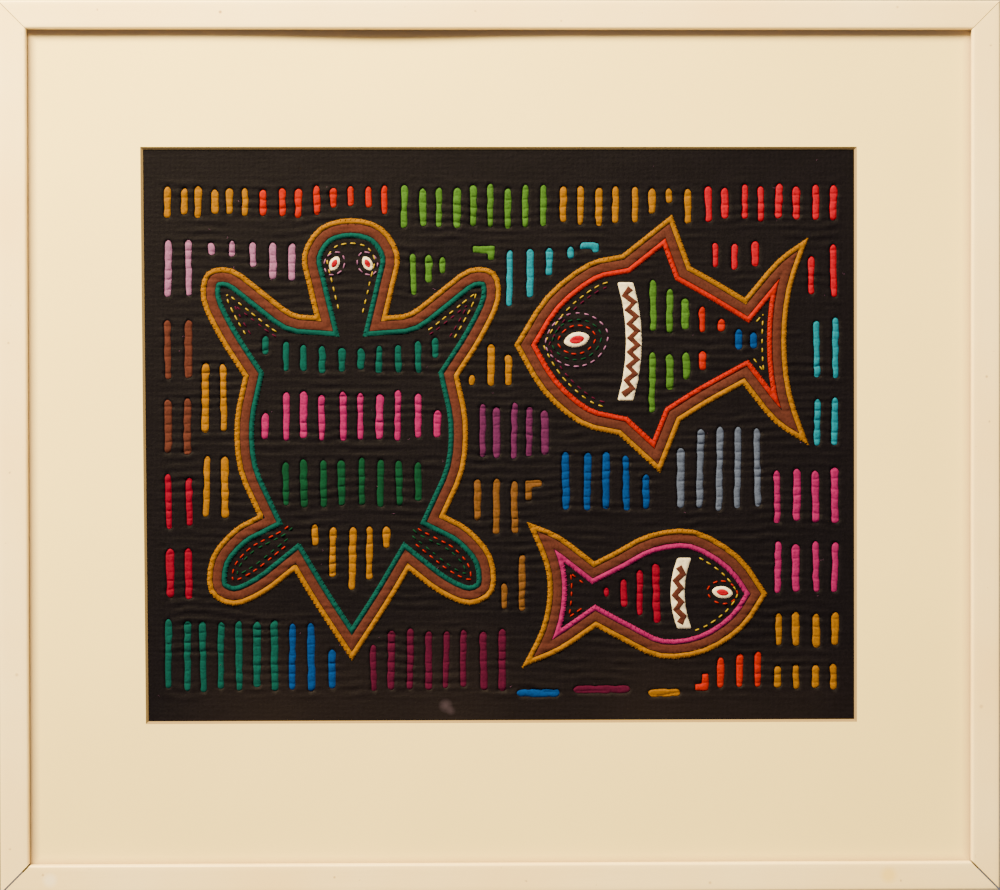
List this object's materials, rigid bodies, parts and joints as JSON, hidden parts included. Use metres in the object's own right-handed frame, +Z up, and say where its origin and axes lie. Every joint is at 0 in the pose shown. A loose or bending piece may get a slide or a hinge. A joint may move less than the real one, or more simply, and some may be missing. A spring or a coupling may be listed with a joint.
{
  "type": "mola textile panel in a mat and wooden frame",
  "caption": "Black cotton panel with coloured slots and strip-sewn animal figures, behind a bevelled mat in a slim cream wooden frame that hangs on a wall.",
  "frame": {"origin": "where it hangs: the middle of the back face of the top rail, on the wall", "axes": "+X to the viewer's right along the longest side, +Y into the wall, +Z up; the panel faces -Y"},
  "size_m": [0.575, 0.019, 0.512],
  "materials": {
    "paint": "cream paint, satin, on a plain wooden moulding",
    "mat": "uncoated paper board, matt",
    "hardboard": "pressed wood fibre, bare",
    "black": "dyed woven cotton, matt",
    "white": "dyed woven cotton, matt",
    "gold": "dyed woven cotton, matt",
    "brown": "dyed woven cotton, matt",
    "teal": "dyed woven cotton, matt",
    "green": "dyed woven cotton, matt",
    "lime": "dyed woven cotton, matt",
    "orange": "dyed woven cotton, matt",
    "red": "dyed woven cotton, matt",
    "crimson": "dyed woven cotton, matt",
    "pink": "dyed woven cotton, matt",
    "lilac": "dyed woven cotton, matt",
    "purple": "dyed woven cotton, matt",
    "wine": "dyed woven cotton, matt",
    "blue": "dyed woven cotton, matt",
    "cyan": "dyed woven cotton, matt",
    "grey": "dyed woven cotton, matt",
    "ochre": "dyed woven cotton, matt"
  },
  "bodies": {
    "root": {"backing_board": "hardboard", "big_fish_brown_band": "brown", "big_fish_eye": "white", "big_fish_gill": "white", "big_fish_gold_band": "gold", "big_fish_orange_band": "orange", "mat_board": "mat", "mola_cloth": "black", "patch_back": "red", "patch_belly": "blue", "patch_between_a": "gold", "patch_between_b": "purple", "patch_between_c": "ochre", "patch_between_d": "ochre", "patch_fin": "grey", "patch_flank": "gold", "patch_foot_a": "blue", "patch_foot_b": "wine", "patch_foot_c": "orange", "patch_foot_d": "blue", "patch_foot_e": "wine", "patch_foot_f": "gold", "patch_left_a": "lilac", "patch_left_b": "brown", "patch_left_c": "crimson", "patch_left_d": "teal", "patch_neck": "lime", "patch_nose": "cyan", "patch_right_a": "red", "patch_right_b": "cyan", "patch_right_c": "pink", "patch_right_d": "gold", "patch_shell_a": "teal", "patch_shell_b": "pink", "patch_shell_c": "green", "patch_shell_d": "gold", "patch_shoulder": "lilac", "patch_side_a": "lime", "patch_side_b": "orange", "patch_side_c": "blue", "patch_side_d": "crimson", "patch_top_a": "gold", "patch_top_b": "orange", "patch_top_c": "lime", "patch_top_d": "gold", "patch_top_e": "red", "rail_bottom": "paint", "rail_left": "paint", "rail_right": "paint", "rail_top": "paint", "small_fish_brown_band": "brown", "small_fish_eye": "white", "small_fish_gill": "white", "small_fish_gold_band": "gold", "small_fish_pink_band": "pink", "turtle_brown_band": "brown", "turtle_gold_band": "gold", "turtle_teal_band": "teal"}
  },
  "joints": []
}
